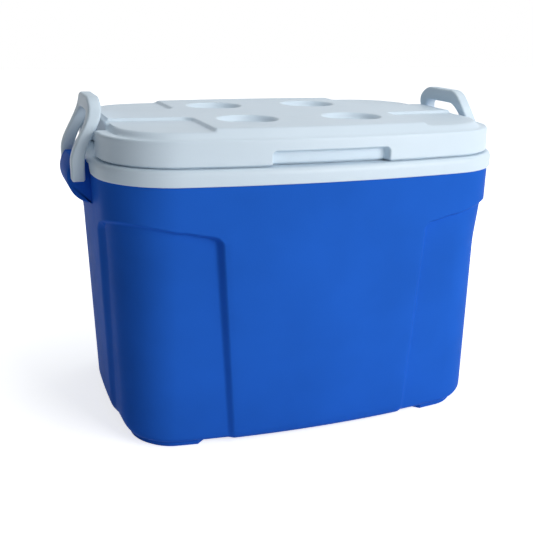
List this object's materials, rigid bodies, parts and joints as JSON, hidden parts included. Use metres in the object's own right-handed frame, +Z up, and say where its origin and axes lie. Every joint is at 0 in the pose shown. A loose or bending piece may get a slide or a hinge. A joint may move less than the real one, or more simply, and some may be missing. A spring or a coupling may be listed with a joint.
{
  "type": "cooler chest",
  "caption": "Insulated cooler chest: moulded tub with recessed corner columns, lift-off lid with can recesses and finger grips, and a swinging bail handle at each end.",
  "frame": {"origin": "on the floor, under the middle of the chest", "axes": "+X to the right-hand handle, +Y to the back, +Z up"},
  "size_m": [0.524, 0.349, 0.3795],
  "materials": {
    "blue_shell": "blue moulded plastic with a fine grain",
    "white_liner": "white moulded plastic",
    "white_lid": "white moulded plastic with a pebble grain",
    "white_handle": "white moulded plastic with a fine grain",
    "insulation_foam": "rigid insulating foam, hidden inside the walls and the lid"
  },
  "bodies": {
    "body": {"outer_shell": "blue_shell", "body_insulation": "insulation_foam", "inner_liner": "white_liner", "body_fill_plug": "blue_shell"},
    "lid": {"lid_top": "white_lid", "lid_insulation": "insulation_foam", "lid_inner_panel": "white_lid", "lid_fill_plug": "white_lid"},
    "handle_left": {"handle_left": "white_handle"},
    "handle_right": {"handle_right": "white_handle"}
  },
  "joints": [
    {"name": "lid_lift", "type": "slide", "parent": "body", "child": "lid", "axis": [0, 0, 1], "range_m": [0, 0.15]},
    {"name": "handle_left_swing", "type": "hinge", "parent": "body", "child": "handle_left", "pos_m": [-0.252, 0, 0.2985], "axis": [0, -1, 0], "range_deg": [0, 190]},
    {"name": "handle_right_swing", "type": "hinge", "parent": "body", "child": "handle_right", "pos_m": [0.252, 0, 0.2985], "axis": [0, 1, 0], "range_deg": [0, 190]}
  ]
}
